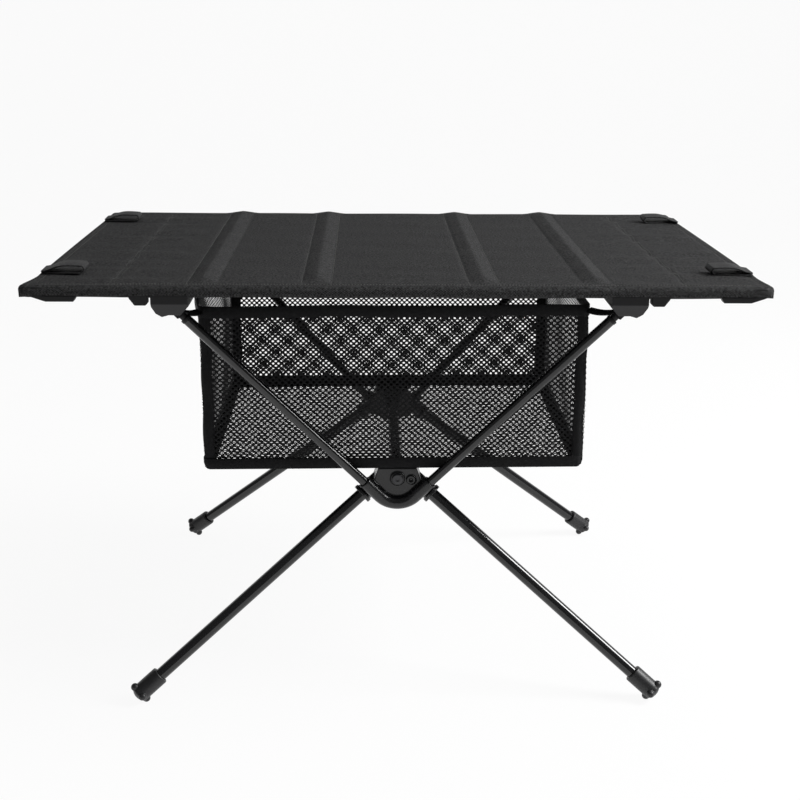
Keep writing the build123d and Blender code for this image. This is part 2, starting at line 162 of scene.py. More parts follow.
def vary_roughness(tree, shader, mask, low, high):
    spread = node_at(tree, "ShaderNodeMapRange")
    spread.inputs["To Min"].default_value = low
    spread.inputs["To Max"].default_value = high
    tree.links.new(mask, spread.inputs["Value"])
    tree.links.new(spread.outputs["Result"], shader.inputs["Roughness"])


anodised_tube, tree, shader = new_material("black_anodised_tube", (0.010, 0.010, 0.011), 0.16)
marks = place_effect(tree, handling_marks, Cloud_Scale=45.0, Grain_Scale=1400.0, Grain_Part=0.25)
tint_between(tree, shader, marks.outputs["Mask"], (0.004, 0.004, 0.0045), (0.010, 0.010, 0.011))
vary_roughness(tree, shader, marks.outputs["Mask"], 0.07, 0.15)
raise_surface(tree, shader, marks.outputs["Grain"], 0.00001)
socket_value(shader, "Specular IOR Level", 0.6)


def dress(material, *names):
    """Give CAD nodes their finish."""
    for name in names:
        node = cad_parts[name]
        node.data.materials.clear()
        node.data.materials.append(material)
        for face in node.data.polygons:
            face.material_index = 0


corners = [f"{end}_{side}" for end in ("front", "back") for side in ("right", "left")]
dress(anodised_tube, "crossbar", *[f"upper_pole_{c}" for c in corners], *[f"leg_tube_{c}" for c in corners])

# ---------------------------------------------------------------- Hubs
# Injection-moulded nylon, one at the front and one at the back. Each holds two poles in a
# bent elbow and two legs in round sockets. Its edges are softened as a mould leaves them.

hub_voxel = 0.0006
hub_smoothing = 3


def softened_copy(node_name, new_name, voxel, passes):
    """The CAD shape with its edges rounded over, as a smooth moulding."""
    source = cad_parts[node_name]
    piece = bpy.data.objects.new(new_name, source.data.copy())
    bpy.context.scene.collection.objects.link(piece)
    remesh = piece.modifiers.new("skin", "REMESH")
    remesh.mode = "VOXEL"
    remesh.voxel_size = voxel
    remesh.use_smooth_shade = True
    smooth = piece.modifiers.new("edges", "SMOOTH")
    smooth.factor = 0.5
    smooth.iterations = passes
    graph = bpy.context.evaluated_depsgraph_get()
    mesh = bpy.data.meshes.new_from_object(piece.evaluated_get(graph))
    piece.modifiers.clear()
    piece.data = mesh
    for face in mesh.polygons:
        face.use_smooth = True
    return piece


def stand_for(piece, material, body, slot_name, *nodes):
    """Finish a new piece: its material, its body and the CAD nodes it replaces. The slot_name argument is not
    used.
    """
    piece.data.materials.clear()
    piece.data.materials.append(material)
    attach(piece, body)
    if nodes:
        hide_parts(*nodes)
    return piece


gloss_nylon, tree, shader = new_material("moulded_gloss_nylon", (0.008, 0.008, 0.009), 0.22)
marks = place_effect(tree, handling_marks, Cloud_Scale=60.0, Grain_Scale=2200.0, Grain_Part=0.5)
tint_between(tree, shader, marks.outputs["Mask"], (0.004, 0.004, 0.005), (0.013, 0.013, 0.014))
vary_roughness(tree, shader, marks.outputs["Mask"], 0.16, 0.3)
raise_surface(tree, shader, marks.outputs["Grain"], 0.00004)

for end in ("front", "back"):
    hub = softened_copy(f"{end}_hub", f"{end}_hub_moulding", hub_voxel, hub_smoothing)
    stand_for(hub, gloss_nylon, "pole_frame", "hub_nylon", f"{end}_hub")

# ---------------------------------------------------------------- Hub screws and bar plugs
# Steel button-head screws, zinc plated then blacked, pull each hub onto the crossbar. They
# bite into turned plugs that are pressed into the ends of the bar.

blacked_steel, tree, shader = new_material("blacked_steel", (0.05, 0.05, 0.052), 0.32, 0.9)
marks = place_effect(tree, handling_marks, Cloud_Scale=120.0, Grain_Scale=3000.0, Grain_Part=0.4)
tint_between(tree, shader, marks.outputs["Mask"], (0.03, 0.03, 0.032), (0.09, 0.09, 0.092))
vary_roughness(tree, shader, marks.outputs["Mask"], 0.22, 0.42)
dress(blacked_steel, "hub_screw_front", "hub_screw_back", "crossbar_plug_front", "crossbar_plug_back")

# ---------------------------------------------------------------- Pole tips, connectors, blocks and clips
# Moulded nylon with a fine matt spark finish. The tips plug the poles. The connectors, corner
# blocks and clips are fixed up into the rails under the front and back hems.

connector_voxel = 0.0005
connector_smoothing = 2
matt_nylon, tree, shader = new_material("moulded_matt_nylon", (0.012, 0.012, 0.013), 0.45)
marks = place_effect(tree, handling_marks, Cloud_Scale=70.0, Grain_Scale=2600.0, Grain_Part=0.6)
tint_between(tree, shader, marks.outputs["Mask"], (0.003, 0.003, 0.0035), (0.010, 0.010, 0.011))
vary_roughness(tree, shader, marks.outputs["Mask"], 0.34, 0.55)
socket_value(shader, "Specular IOR Level", 0.3)
raise_surface(tree, shader, marks.outputs["Grain"], 0.00006)
for corner in corners:
    dress(matt_nylon, f"pole_tip_{corner}")
    for part in ("rail_connector", "corner_block", "rail_clip"):
        name = f"{part}_{corner}"
        piece = softened_copy(name, f"{name}_moulding", connector_voxel, connector_smoothing)
        stand_for(piece, matt_nylon, "table_top", "connector_nylon", name)

# ---------------------------------------------------------------- Rubber feet
# Black moulded rubber, pushed over the leg ends. Four round lobes and a low dome give grip
# on any side, and a thin rim rings the collar.

foot_voxel = 0.0004
foot_smoothing = 3
foot_rubber, tree, shader = new_material("moulded_rubber", (0.012, 0.012, 0.013), 0.42)
marks = place_effect(tree, handling_marks, Cloud_Scale=90.0, Grain_Scale=1900.0, Grain_Part=0.5)
tint_between(tree, shader, marks.outputs["Mask"], (0.008, 0.008, 0.009), (0.020, 0.020, 0.021))
vary_roughness(tree, shader, marks.outputs["Mask"], 0.32, 0.55)
raise_surface(tree, shader, marks.outputs["Grain"], 0.00006)
for corner in corners:
    foot = softened_copy(f"foot_{corner}", f"foot_{corner}_moulding", foot_voxel, foot_smoothing)
    stand_for(foot, foot_rubber, f"leg_{corner}", "foot_rubber", f"foot_{corner}")

# ---------------------------------------------------------------- Mesh storage bag: net panels
# Warp-knitted black polyester net in five panels, four walls and a base. The holes are small
# rounded diamonds in staggered rows, and the panels sag a little between their tapes.

bag_low, bag_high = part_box("storage_bag")
hole_pitch_across = 0.00535
hole_pitch_down = 0.0049
hole_half_width = 0.00142
hole_half_height = 0.00112
hole_unevenness = 0.16
hole_lean = 0.00025
knot_rise = 0.00022
hole_edge_rise = -0.0001


def mesh_piece(name, points, faces):
    """A smooth-shaded piece made from a list of points and faces."""
    mesh = bpy.data.meshes.new(name)
    mesh.from_pydata(points, [], faces)
    mesh.update()
    piece = bpy.data.objects.new(name, mesh)
    bpy.context.scene.collection.objects.link(piece)
    for face in mesh.polygons:
        face.use_smooth = True
    return piece


def net_panel(name, width, height, place):
    """A flat net of rounded diamond holes, laid on the surface place(u, v, rise) gives."""
    points = []
    knots = {}
    faces = []

    def knot(a, b):
        if (a, b) not in knots:
            u, v = a * hole_pitch_across / 2, b * hole_pitch_down / 2
            knots[a, b] = len(points)
            points.append(place(min(max(u, 0), width), min(max(v, 0), height), knot_rise))
        return knots[a, b]

    columns = int(2 * width / hole_pitch_across)
    rows = int(2 * height / hole_pitch_down)
    for b in range(1, rows):
        for a in range(1, columns):
            if (a + b) % 2:
                continue
            right, top, left, low = knot(a + 1, b), knot(a, b + 1), knot(a - 1, b), knot(a, b - 1)
            ring = []
            u, v = a * hole_pitch_across / 2, b * hole_pitch_down / 2
            size = 1 + hole_unevenness * noise.noise(Vector((u * 160, v * 160, len(name))))
            lean = hole_lean * noise.noise(Vector((u * 90, v * 90, 3.0)))
            for step in range(8):
                turn = step * math.pi / 4
                ring.append(len(points))
                points.append(place(u + size * hole_half_width * math.cos(turn) + lean,
                                    v + size * hole_half_height * math.sin(turn), hole_edge_rise))
            faces.append((right, top, ring[2], ring[1], ring[0]))
            faces.append((top, left, ring[4], ring[3], ring[2]))
            faces.append((left, low, ring[6], ring[5], ring[4]))
            faces.append((low, right, ring[0], ring[7], ring[6]))
    return mesh_piece(name, points, faces)


net_yarn, tree, shader = new_material("net_yarn", (0.016, 0.016, 0.017), 0.6)
marks = place_effect(tree, handling_marks, Cloud_Scale=25.0, Grain_Scale=1500.0, Grain_Part=0.6)
tint_between(tree, shader, marks.outputs["Mask"], (0.005, 0.005, 0.006), (0.020, 0.020, 0.021))
raise_surface(tree, shader, marks.outputs["Grain"], 0.0001)
socket_value(shader, "Specular IOR Level", 0.15)

bag_width = bag_high[0] - bag_low[0]
bag_depth = bag_high[1] - bag_low[1]
bag_tall = bag_high[2] - bag_low[2]
bag_corner_round = 0.0055
bow_from = 0.088
rim_bow = 0.019
bag_stretch = 1.003
bag_offset = 0.0033
bag_tilt = 0.0012


def hang(spot):
    """Where a point of the square bag lies when it hangs: a little to the left and lower on
    that side, round at its base corners, and bowed out along the left rim."""
    x, y, z = spot
    half = bag_width / 2
    from_end, from_base = half - abs(x), z - bag_low[2]
    if from_end < bag_corner_round and from_base < bag_corner_round:
        u, w = 1 - from_end / bag_corner_round, 1 - from_base / bag_corner_round
        reach = max(u, w) / max(math.hypot(u, w), 1e-9)
        x = math.copysign(half - bag_corner_round + u * reach * bag_corner_round, x)
        z = bag_low[2] + bag_corner_round - w * reach * bag_corner_round
    high = min(max((z - bag_low[2] - bow_from) / (bag_tall - bow_from), 0), 1)
    along = min(max((y - bag_low[1]) / bag_depth, 0), 1)
    if x < 0:
        x -= rim_bow * math.sin(math.pi * along) * high ** 2 * min(max(-x / half, 0), 1) ** 8
    level = x / half
    return (x * bag_stretch - bag_offset, y, z + bag_tilt * level)


def slack(u, v, width, height):
    """0 at a panel's tapes and 1 in its middle."""
    return math.sin(math.pi * min(max(u / width, 0), 1)) * math.sin(math.pi * min(max(v / height, 0), 1))


def ease(value):
    """0 to 1, with a soft start and end."""
    value = min(max(value, 0.0), 1.0)
    return value * value * (3 - 2 * value)


wall_inset = 0.0006
base_rise = 0.0012
sag_on_bar = 0.0016
sag_past_bar = 0.0045
bar_lap = 0.02
bar_fade = 0.06
fold_high = 0.0016
fold_reach = 0.07
fold_start = 0.03
fold_count = 14


def wall_place(start, way, inward, sag, sway, waves):
    """Lays a wall from its lower corner along way. It sags inward and sways in slow waves."""
    width = bag_width if way[0] else bag_depth

    def place(u, v, rise):
        depth = wall_inset + sag * slack(u, v, width, bag_tall)
        depth += sway * math.sin(u * waves[0] + v * waves[1]) - rise
        return hang((start[0] + way[0] * u + inward[0] * depth, start[1] + way[1] * u + inward[1] * depth,
                     bag_low[2] + v))

    return place


def base_place(u, v, rise):
    """Lays the base over the crossbar, with small folds fanning out of each corner."""
    x, y = bag_low[0] + u, bag_low[1] + v
    middle = slack(u, v, bag_width, bag_depth)
    sag = (sag_on_bar + sag_past_bar * ease((abs(x) - bar_lap) / bar_fade)) * middle
    for cx in (-1, 1):
        for cy in (-1, 1):
            dx, dy = x - cx * bag_width / 2, y - cy * bag_depth / 2
            away = math.hypot(dx, dy)
            fan = math.sin(fold_count * math.atan2(abs(dy), abs(dx)) + cx)
            sag += fold_high * fan * math.exp(-away / fold_reach) * min(away / fold_start, 1)
    return hang((x, y, bag_low[2] + base_rise - sag * min(middle * 6, 1) + rise))


front_place = wall_place((bag_low[0], bag_low[1]), (1, 0), (0, 1), 0.0022, 0.0006, (60, 25))
back_place = wall_place((bag_high[0], bag_high[1]), (-1, 0), (0, -1), 0.0022, 0.0006, (50, -30))
left_place = wall_place((bag_low[0], bag_high[1]), (0, -1), (1, 0), 0.0035, 0.0007, (55, 20))
right_place = wall_place((bag_high[0], bag_low[1]), (0, 1), (-1, 0), 0.0035, 0.0007, (45, -35))
panels = (
    ("net_front", bag_width, bag_tall, front_place),
    ("net_back", bag_width, bag_tall, back_place),
    ("net_left", bag_depth, bag_tall, left_place),
    ("net_right", bag_depth, bag_tall, right_place),
    ("net_base", bag_width, bag_depth, base_place),
)
for name, width, height, place in panels:
    panel = net_panel(name, width, height, place)
    replaced = ["storage_bag"] if name == "net_front" else []
    stand_for(panel, net_yarn, "pole_frame", "bag_mesh", *replaced)

# ---------------------------------------------------------------- Mesh storage bag: bindings
# Woven polyester tape, folded over every edge of the net and sewn down: round the rim and
# the base, and up the four corners.

rim_low, rim_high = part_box("bag_rim_tape")
base_low, base_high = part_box("bag_base_tape")
tape_thick = 0.0011
base_tape_wide = 0.0098
floor_tape_wide = 0.0085
floor_tape_thick = 0.0009
floor_tape_inset = 0.0042
corner_tape_lap = 0.0045
corner_tape_rows = 26


def ribbon(name, line, across, width, thick, closed=False):
    """A flat tape along a line of points. across gives the tape's width direction at each point."""
    points, faces = [], []
    count = len(line)
    w, t = width / 2, thick / 2
    profile = ((-w, -t * 0.5), (-w * 0.9, -t), (w * 0.9, -t), (w, -t * 0.5), (w, t * 0.5), (w * 0.9, t),
               (0, t * 0.86), (-w * 0.9, t), (-w, t * 0.5))
    for index, spot in enumerate(line):
        ahead = line[(index + 1) % count] if closed else line[min(index + 1, count - 1)]
        behind = line[index - 1] if closed or index else line[0]
        along = (Vector(ahead) - Vector(behind)).normalized()
        side = Vector(across[index]).normalized()
        out = along.cross(side).normalized()
        for s, o in profile:
            points.append(tuple(Vector(spot) + side * s + out * o))
    ring = len(profile)
    last = count if closed else count - 1
    for index in range(last):
        here, there = index * ring, ((index + 1) % count) * ring
        for k in range(ring):
            n = (k + 1) % ring
            faces.append((here + k, there + k, there + n, here + n))
    if not closed:
        faces.append(tuple(range(ring)))
        faces.append(tuple(reversed(range((count - 1) * ring, count * ring))))
    return mesh_piece(name, points, faces)


def rounded_ring(half_x, half_y, bend, z, spacing=0.006):
    """Points round a rectangle with rounded corners, anticlockwise from above."""
    line = []
    for quarter in range(4):
        sx, sy = ((1, -1), (1, 1), (-1, 1), (-1, -1))[quarter]
        cx, cy = sx * (half_x - bend), sy * (half_y - bend)
        start = -math.pi / 2 + quarter * math.pi / 2
        for step in range(7):
            turn = start + step * math.pi / 12
            line.append(Vector((cx + bend * math.cos(turn), cy + bend * math.sin(turn), z)))
        nx, ny = ((1, 1), (-1, 1), (-1, -1), (1, -1))[quarter]
        tx, ty = nx * (half_x - bend), ny * (half_y - bend)
        end = start + math.pi / 2
        goal = Vector((tx + bend * math.cos(end), ty + bend * math.sin(end), z))
        pieces = max(2, int((goal - line[-1]).length / spacing))
        first = line[-1].copy()
        for step in range(1, pieces):
            line.append(first.lerp(goal, step / pieces))
    return line


def weave_effect():
    """Over-and-under threads of a woven cloth or tape, with thick and thin places in the yarn."""
    group, entry, leave = new_effect(
        "woven_threads",
        [("Across Pitch", 0.0009), ("Along Pitch", 0.0009), ("Slub", 1.0), ("Upright", 0.0), ("Around", 0.0),
         ("Level", 0.0)],
        ["Height", "Light Thread"])
    where = node_at(group, "ShaderNodeTexCoord").outputs["Object"]
    axes = node_at(group, "ShaderNodeSeparateXYZ")
    group.links.new(where, axes.inputs[0])
    x, y, z = axes.outputs
    # On a hem that turns down at the front or back, the fall below Level counts as more length.
    rise = maths(group, "SUBTRACT", z, entry.outputs["Level"])
    toward = maths(group, "MULTIPLY", maths(group, "SIGN", y, 0), rise)
    flat = maths(group, "SUBTRACT", y, toward)
    lying_part = maths(group, "SUBTRACT", 1.0, entry.outputs["Upright"])
    lying = maths(group, "MULTIPLY", flat, lying_part)
    standing = maths(group, "MULTIPLY", z, entry.outputs["Upright"])
    down = maths(group, "ADD", lying, standing)
    # On a tape that goes round the bag, x and y together count along it.
    round_it = maths(group, "ADD", x, maths(group, "MULTIPLY", y, entry.outputs["Around"]))
    threads_across = maths(group, "DIVIDE", round_it, entry.outputs["Across Pitch"])
    threads_down = maths(group, "DIVIDE", down, entry.outputs["Along Pitch"])
    across = maths(group, "MULTIPLY", threads_across, math.pi)
    along = maths(group, "MULTIPLY", threads_down, math.pi)
    crossing = maths(group, "MULTIPLY", maths(group, "SINE", across, 0), maths(group, "SINE", along, 0))
    yarn = None
    for scale, part in ((560.0, 0.7), (1500.0, 0.6)):
        grain = node_at(group, "ShaderNodeTexNoise")
        grain.inputs["Scale"].default_value = scale
        grain.inputs["Detail"].default_value = 2.0
        group.links.new(where, grain.inputs["Vector"])
        one = maths(group, "MULTIPLY", maths(group, "SUBTRACT", grain.outputs["Fac"], 0.5), part * 4)
        yarn = one if yarn is None else maths(group, "ADD", yarn, one)
    yarn = maths(group, "MULTIPLY", yarn, entry.outputs["Slub"])
    height = maths(group, "ADD", maths(group, "MULTIPLY", crossing, 0.5), yarn)
    group.links.new(height, leave.inputs["Height"])
    light = node_at(group, "ShaderNodeMapRange")
    light.inputs["From Min"].default_value = -1.0
    light.inputs["From Max"].default_value = 1.0
    group.links.new(height, light.inputs["Value"])
    group.links.new(light.outputs["Result"], leave.inputs["Light Thread"])
    return group


woven_threads = weave_effect()
binding_tape, tree, shader = new_material("woven_binding_tape", (0.014, 0.014, 0.015), 0.7)
weave = place_effect(tree, woven_threads, Across_Pitch=0.0011, Along_Pitch=0.0008, Slub=0.7,
                     Upright=1.0, Around=1.0)
tint_between(tree, shader, weave.outputs["Light Thread"], (0.004, 0.004, 0.0045), (0.018, 0.018, 0.019))
raise_surface(tree, shader, weave.outputs["Height"], 0.0001)
socket_value(shader, "Specular IOR Level", 0.15)

up = Vector((0, 0, 1))
rim_half = tuple((high - low) / 2 - tape_thick / 2 for low, high in zip(rim_low[:2], rim_high[:2]))
rim_line = rounded_ring(*rim_half, bag_corner_round, (rim_low[2] + rim_high[2]) / 2)
rim_line = [Vector(hang(p)) + Vector((0, 0, 0.0006 * math.sin(p.x * 38 + p.y * 21))) for p in rim_line]
rim_tape_wide = rim_high[2] - rim_low[2]
rim_binding = ribbon("bag_rim_binding", rim_line, [up] * len(rim_line), rim_tape_wide, tape_thick, True)
stand_for(rim_binding, binding_tape, "pole_frame", "bag_tape", "bag_rim_tape")

base_line = rounded_ring(*rim_half, bag_corner_round, (base_low[2] + base_high[2]) / 2 + 0.0003)
base_binding = ribbon("bag_base_binding", base_line, [up] * len(base_line), base_tape_wide, tape_thick, True)
for vertex in base_binding.data.vertices:
    vertex.co = hang(vertex.co)
stand_for(base_binding, binding_tape, "pole_frame", "bag_tape", "bag_base_tape")

floor_line = rounded_ring(rim_half[0] - floor_tape_inset, rim_half[1] - floor_tape_inset, bag_corner_round,
                          base_low[2] + 0.0009)
floor_across = []
for p in floor_line:
    inner = Vector((max(-rim_half[0] + 0.012, min(rim_half[0] - 0.012, p.x)),
                    max(-rim_half[1] + 0.012, min(rim_half[1] - 0.012, p.y)), p.z))
    floor_across.append((inner - p).normalized())
floor_binding = ribbon("bag_floor_binding", floor_line, floor_across, floor_tape_wide, floor_tape_thick, True)
for vertex in floor_binding.data.vertices:
    vertex.co = hang(vertex.co)
stand_for(floor_binding, binding_tape, "pole_frame", "bag_tape")


def corner_signs(corner):
    """+1 at the right and at the back, -1 at the left and at the front."""
    return (1 if corner.endswith("right") else -1), (-1 if corner.startswith("front") else 1)


for corner in corners:
    sx, sy = corner_signs(corner)
    inner_x, inner_y = rim_half[0] - bag_corner_round, rim_half[1] - bag_corner_round
    points, faces = [], []
    bend_run = [(0.0, 0.0, step * math.pi / 12) for step in range(7)]
    run = [(0.0, -corner_tape_lap, 0.0)] + bend_run + [(-corner_tape_lap, 0.0, math.pi / 2)]
    for row in range(corner_tape_rows):
        z = base_low[2] + 0.004 + (rim_high[2] - base_low[2] - 0.008) * row / (corner_tape_rows - 1)
        wave = 0.0004 * math.sin(row * 0.7 + sx + sy)
        for layer in (0.0, tape_thick):
            for along_x, along_y, turn in run:
                px = inner_x + (bag_corner_round - layer) * math.cos(turn) + along_x
                py = inner_y + (bag_corner_round - layer) * math.sin(turn) + along_y
                points.append((sx * (px + wave), sy * (py + wave), z))
    half_ring = len(run)
    ring = 2 * half_ring
    for row in range(corner_tape_rows - 1):
        outside, inside = row * ring, row * ring + half_ring
        for k in range(half_ring - 1):
            a, b = outside + k, inside + k
            faces.append((a, a + 1, a + ring + 1, a + ring))
            faces.append((b + 1, b, b + ring, b + ring + 1))
        faces.append((inside, outside, outside + ring, inside + ring))
        faces.append((inside - 1, outside + ring - 1, outside + 2 * ring - 1, inside + ring - 1))
    top = (corner_tape_rows - 1) * ring
    bottom_ring = list(range(half_ring)) + list(range(ring - 1, half_ring - 1, -1))
    faces.append(tuple(bottom_ring))
    faces.append(tuple(top + k for k in bottom_ring[half_ring - 1::-1] + bottom_ring[:half_ring - 1:-1]))
    points = [hang(p) for p in points]
    post = mesh_piece(f"bag_corner_binding_{corner}", points, faces)
    mesh = bmesh.new()
    mesh.from_mesh(post.data)
    bmesh.ops.recalc_face_normals(mesh, faces=mesh.faces)
    mesh.to_mesh(post.data)
    mesh.free()
    stand_for(post, binding_tape, "pole_frame", "bag_tape")

# ---------------------------------------------------------------- Corner straps of the bag
# Short lengths of thin black webbing. Each is sewn to the bag's rim corner and folded round
# the nose of a pole tip, where the rail connector traps it.

strap_wide = 0.0068
strap_loop_thick = 0.0011
strap_tail_thick = 0.0016
wrap_radius = 0.0044
tail_start = 0.0085
tail_sag = 0.0012
nose_centre = (0.1815, 0.17303, 0.34527)
pole_head = (0.186, 0.174, 0.35)
pole_root = (0, 0.134, 0.155)


def mirrored(spot, sx, sy):
    return Vector((sx * spot[0], sy * spot[1], spot[2]))


for corner in corners:
    sx, sy = corner_signs(corner)
    start = Vector(hang((sx * (rim_half[0] - 0.001), sy * (rim_half[1] - 0.001), rim_high[2] - 0.005)))
    tip_centre = mirrored(nose_centre, sx, sy)
    pole_way = (mirrored(pole_head, sx, sy) - mirrored(pole_root, sx, sy)).normalized()
    tail_way = (start - tip_centre).normalized()
    side = pole_way.cross(tail_way).normalized()
    level = side.cross(pole_way).normalized()
    line = []
    for step in range(13):
        turn = math.radians(60 + step * 20)
        line.append(tip_centre + (level * math.cos(turn) + side * math.sin(turn)) * wrap_radius)
    meet = tip_centre + tail_way * tail_start
    tail = []
    for t in range(9):
        sag = Vector((0, 0, -tail_sag * math.sin(math.pi * t / 8)))
        tail.append(meet.lerp(start, t / 8) + sag)
    loop = ribbon(f"bag_strap_{corner}_loop", line, [pole_way] * len(line), strap_wide, strap_loop_thick)
    end_piece = ribbon(f"bag_strap_{corner}_tail", tail, [pole_way] * len(tail), strap_wide, strap_tail_thick)
    stand_for(loop, binding_tape, "pole_frame", "strap_webbing", f"bag_strap_{corner}")
    stand_for(end_piece, binding_tape, "pole_frame", "strap_webbing")

# ---------------------------------------------------------------- Cloth top
# Heavy plain-woven black polyester. Hems on all four edges hold the rails and end rods, and
# four sewn sleeves hold flat battens, so the top rolls up along its length.

top_low, top_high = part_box("top_fabric")
half_long = (top_high[0] - top_low[0]) / 2
half_deep = (top_high[1] - top_low[1]) / 2
flat_z = 0.372
cloth_thick = 0.0012
rail_hem = 0.005
rod_hem = 0.004
corner_round = 0.009
ribs = (-0.160, -0.068, 0.068, 0.160)
rib_half = 0.0115
rib_high = 0.0036
rib_crease = 0.0014
seam_x = 0.232
rail_seam = 0.0098
rod_seam = 0.0085
ripple_high = 0.00075
ear_reach = {(-1, -1): 0.0060, (1, -1): 0.0028, (-1, 1): 0.0016, (1, 1): 0.0010}


def rib_lift(x, spread=1.0):
    """Height of the sewn sleeves over their battens: two slopes to a soft crease."""
    lift = 0.0
    for middle in ribs:
        away = abs(x - middle)
        reach = rib_half * spread
        if away < reach:
            slope = 1 - math.sqrt(away * away + rib_crease ** 2) / math.hypot(reach, rib_crease)
            lift = rib_high / spread * 1.08 * slope * ease((reach - away) / 0.0016)
        lift -= 0.0004 * math.exp(-((away - rib_half - 0.0006) / 0.0009) ** 2) / spread ** 3
    return lift


def rib_at(x, y):
    """The ridges die away into the front hem, and spread out softly over the back one."""
    if y < 0:
        return rib_lift(x) * ease((half_deep + y - 0.0085) / 0.022)
    soft = ease((half_deep - y) / 0.03)
    return rib_lift(x) * soft + rib_lift(x, 1.5) * (1 - soft) * 0.9


def slack_lift(x, y):
    """Ripples of the unstretched cloth at the ends, and a faint slack between the ribs."""
    inside = ease((half_deep - abs(y)) / 0.035) * ease((half_long - abs(x)) / 0.03)
    past = ease((abs(x) - 0.176) / 0.03)
    wave = math.sin(2 * math.pi * y / 0.041 + 1.3 * math.sin(x * 21) + (0.9 if x > 0 else 2.2))
    wave += 0.55 * math.sin(2 * math.pi * y / 0.067 + x * 34 + 0.7)
    valley = math.sin(2 * math.pi * (y + 0.02 * (abs(x) - 0.3)) / 0.027 + (0.4 if x > 0 else 1.9))
    wave -= 1.3 * ease((abs(x) - 0.215) / 0.03) * (0.5 + 0.5 * valley) ** 3
    ripple = ripple_high * past * wave * inside
    pull = 0.00016 * (1 - past) * math.sin(2 * math.pi * y / 0.055 + x * 17) * inside
    soft = 0.00035 * noise.noise(Vector((x * 28, y * 40, 0.3))) * inside
    dip = -0.0007 * math.cos(math.pi * y / (2 * half_deep)) * (1 - 0.6 * past)
    seam = -0.0007 * math.exp(-((abs(x) - seam_x) / 0.0022) ** 2) * inside
    return ripple + pull + soft + dip + seam


def edge_drop(away, radius):
    """How far the top surface falls below the flat, at a distance in from the edge."""
    if away >= radius:
        return 0.0
    return radius - math.sqrt(max(radius * radius - (radius - away) ** 2, 0.0))


def hem_fall(away, radius):
    """How far the underside hangs below the flat: round the rail, then up to the seam."""
    if away < radius:
        return radius + math.sqrt(max(radius * radius - (radius - away) ** 2, 0.0))
    return cloth_thick + (2 * radius - cloth_thick) * (1 - ease((away - radius) / (radius * 1.15)))


edge_steps = [0, 0.00012, 0.0005, 0.0011, 0.0019, 0.0028, 0.0038, 0.005, 0.0062, 0.0074, 0.0086, 0.0098,
              0.0108, 0.0125]


def stations(half, spacing, fine):
    """Grid lines from one edge to the other: close at the hems, closer again over the ribs."""
    inner = []
    place = -half + edge_steps[-1]
    while place < half - edge_steps[-1] - 0.0004:
        over_rib = any(abs(place - r) < rib_half + 0.003 for r in ribs)
        place += fine if fine and over_rib else spacing
        inner.append(min(place, half - edge_steps[-1]))
    return [-half + s for s in edge_steps] + inner[:-1] + [half - s for s in reversed(edge_steps)]


grid_x = stations(half_long, 0.0026, 0.0011)
grid_y = stations(half_deep, 0.0042, 0)


def corner_shift(x, y):
    """Draws the square grid in to the rounded corners of the cloth."""
    cx, cy = half_long - corner_round, half_deep - corner_round
    if abs(x) <= cx or abs(y) <= cy:
        return x, y
    u, v = (abs(x) - cx) / corner_round, (abs(y) - cy) / corner_round
    reach = max(u, v) / max(math.hypot(u, v), 1e-9)
    return math.copysign(cx + u * reach * corner_round, x), math.copysign(cy + v * reach * corner_round, y)


def ear(x, y):
    """The corners of the cloth stand out past the ends of the rods; the ends pull in between."""
    near = math.exp(-((half_deep - abs(y)) / 0.028) ** 2) * ease((abs(x) - 0.262) / 0.038)
    out = ear_reach[1 if x > 0 else -1, 1 if y > 0 else -1]
    waist = 0.0012 * math.cos(math.pi * y / (2 * half_deep)) * ease((abs(x) - 0.22) / 0.08)
    return math.copysign(out * near - waist, x)


top_points, under_points = [], []
for y in grid_y:
    for x in grid_x:
        px, py = corner_shift(x, y)
        px += ear(px, py)
        from_end, from_side = half_long - abs(x), half_deep - abs(y)
        drop = max(edge_drop(from_side, rail_hem), edge_drop(from_end, rod_hem))
        lift = rib_at(px, py) + slack_lift(px, py)
        hem_line = 0.0004 * math.exp(-((from_side - rail_seam) / 0.0012) ** 2)
        hem_line += 0.0004 * math.exp(-((from_end - rod_seam) / 0.0012) ** 2)
        wobble = 0.0003 * math.sin(px * 46 + 1.0) * ease(from_side / 0.004)
        high = flat_z - drop + lift - hem_line + wobble * 0.5
        fall = max(hem_fall(from_side, rail_hem), hem_fall(from_end, rod_hem))
        carried = lift if fall < 0.003 else 0
        low = min(flat_z - max(fall - carried - wobble, drop), high)
        on_edge = min(from_side, from_end) < 1e-6
        top_points.append((px, py, high))
        under_points.append((px, py, high if on_edge else low))
across_count, deep_count = len(grid_x), len(grid_y)
offset = len(top_points)
faces = []
for j in range(deep_count - 1):
    for i in range(across_count - 1):
        a = j * across_count + i
        b, c, d = a + 1, a + across_count + 1, a + across_count
        faces.append((a, b, c, d))
        faces.append((offset + a, offset + d, offset + c, offset + b))
cloth_top = mesh_piece("cloth_top", top_points + under_points, faces)
mesh = bmesh.new()
mesh.from_mesh(cloth_top.data)
bmesh.ops.remove_doubles(mesh, verts=mesh.verts, dist=0.000002)
bmesh.ops.recalc_face_normals(mesh, faces=mesh.faces)
mesh.to_mesh(cloth_top.data)
mesh.free()

woven_cloth, tree, shader = new_material("woven_cloth", (0.028, 0.028, 0.029), 0.82)
weave = place_effect(tree, woven_threads, Across_Pitch=0.0012, Along_Pitch=0.0010, Slub=1.0, Level=flat_z)
tint_between(tree, shader, weave.outputs["Light Thread"], (0.003, 0.003, 0.003), (0.076, 0.076, 0.077))
raise_surface(tree, shader, weave.outputs["Height"], 0.00022)
socket_value(shader, "Specular IOR Level", 0.08)
stand_for(cloth_top, woven_cloth, "table_top", "top_cloth", "top_fabric")

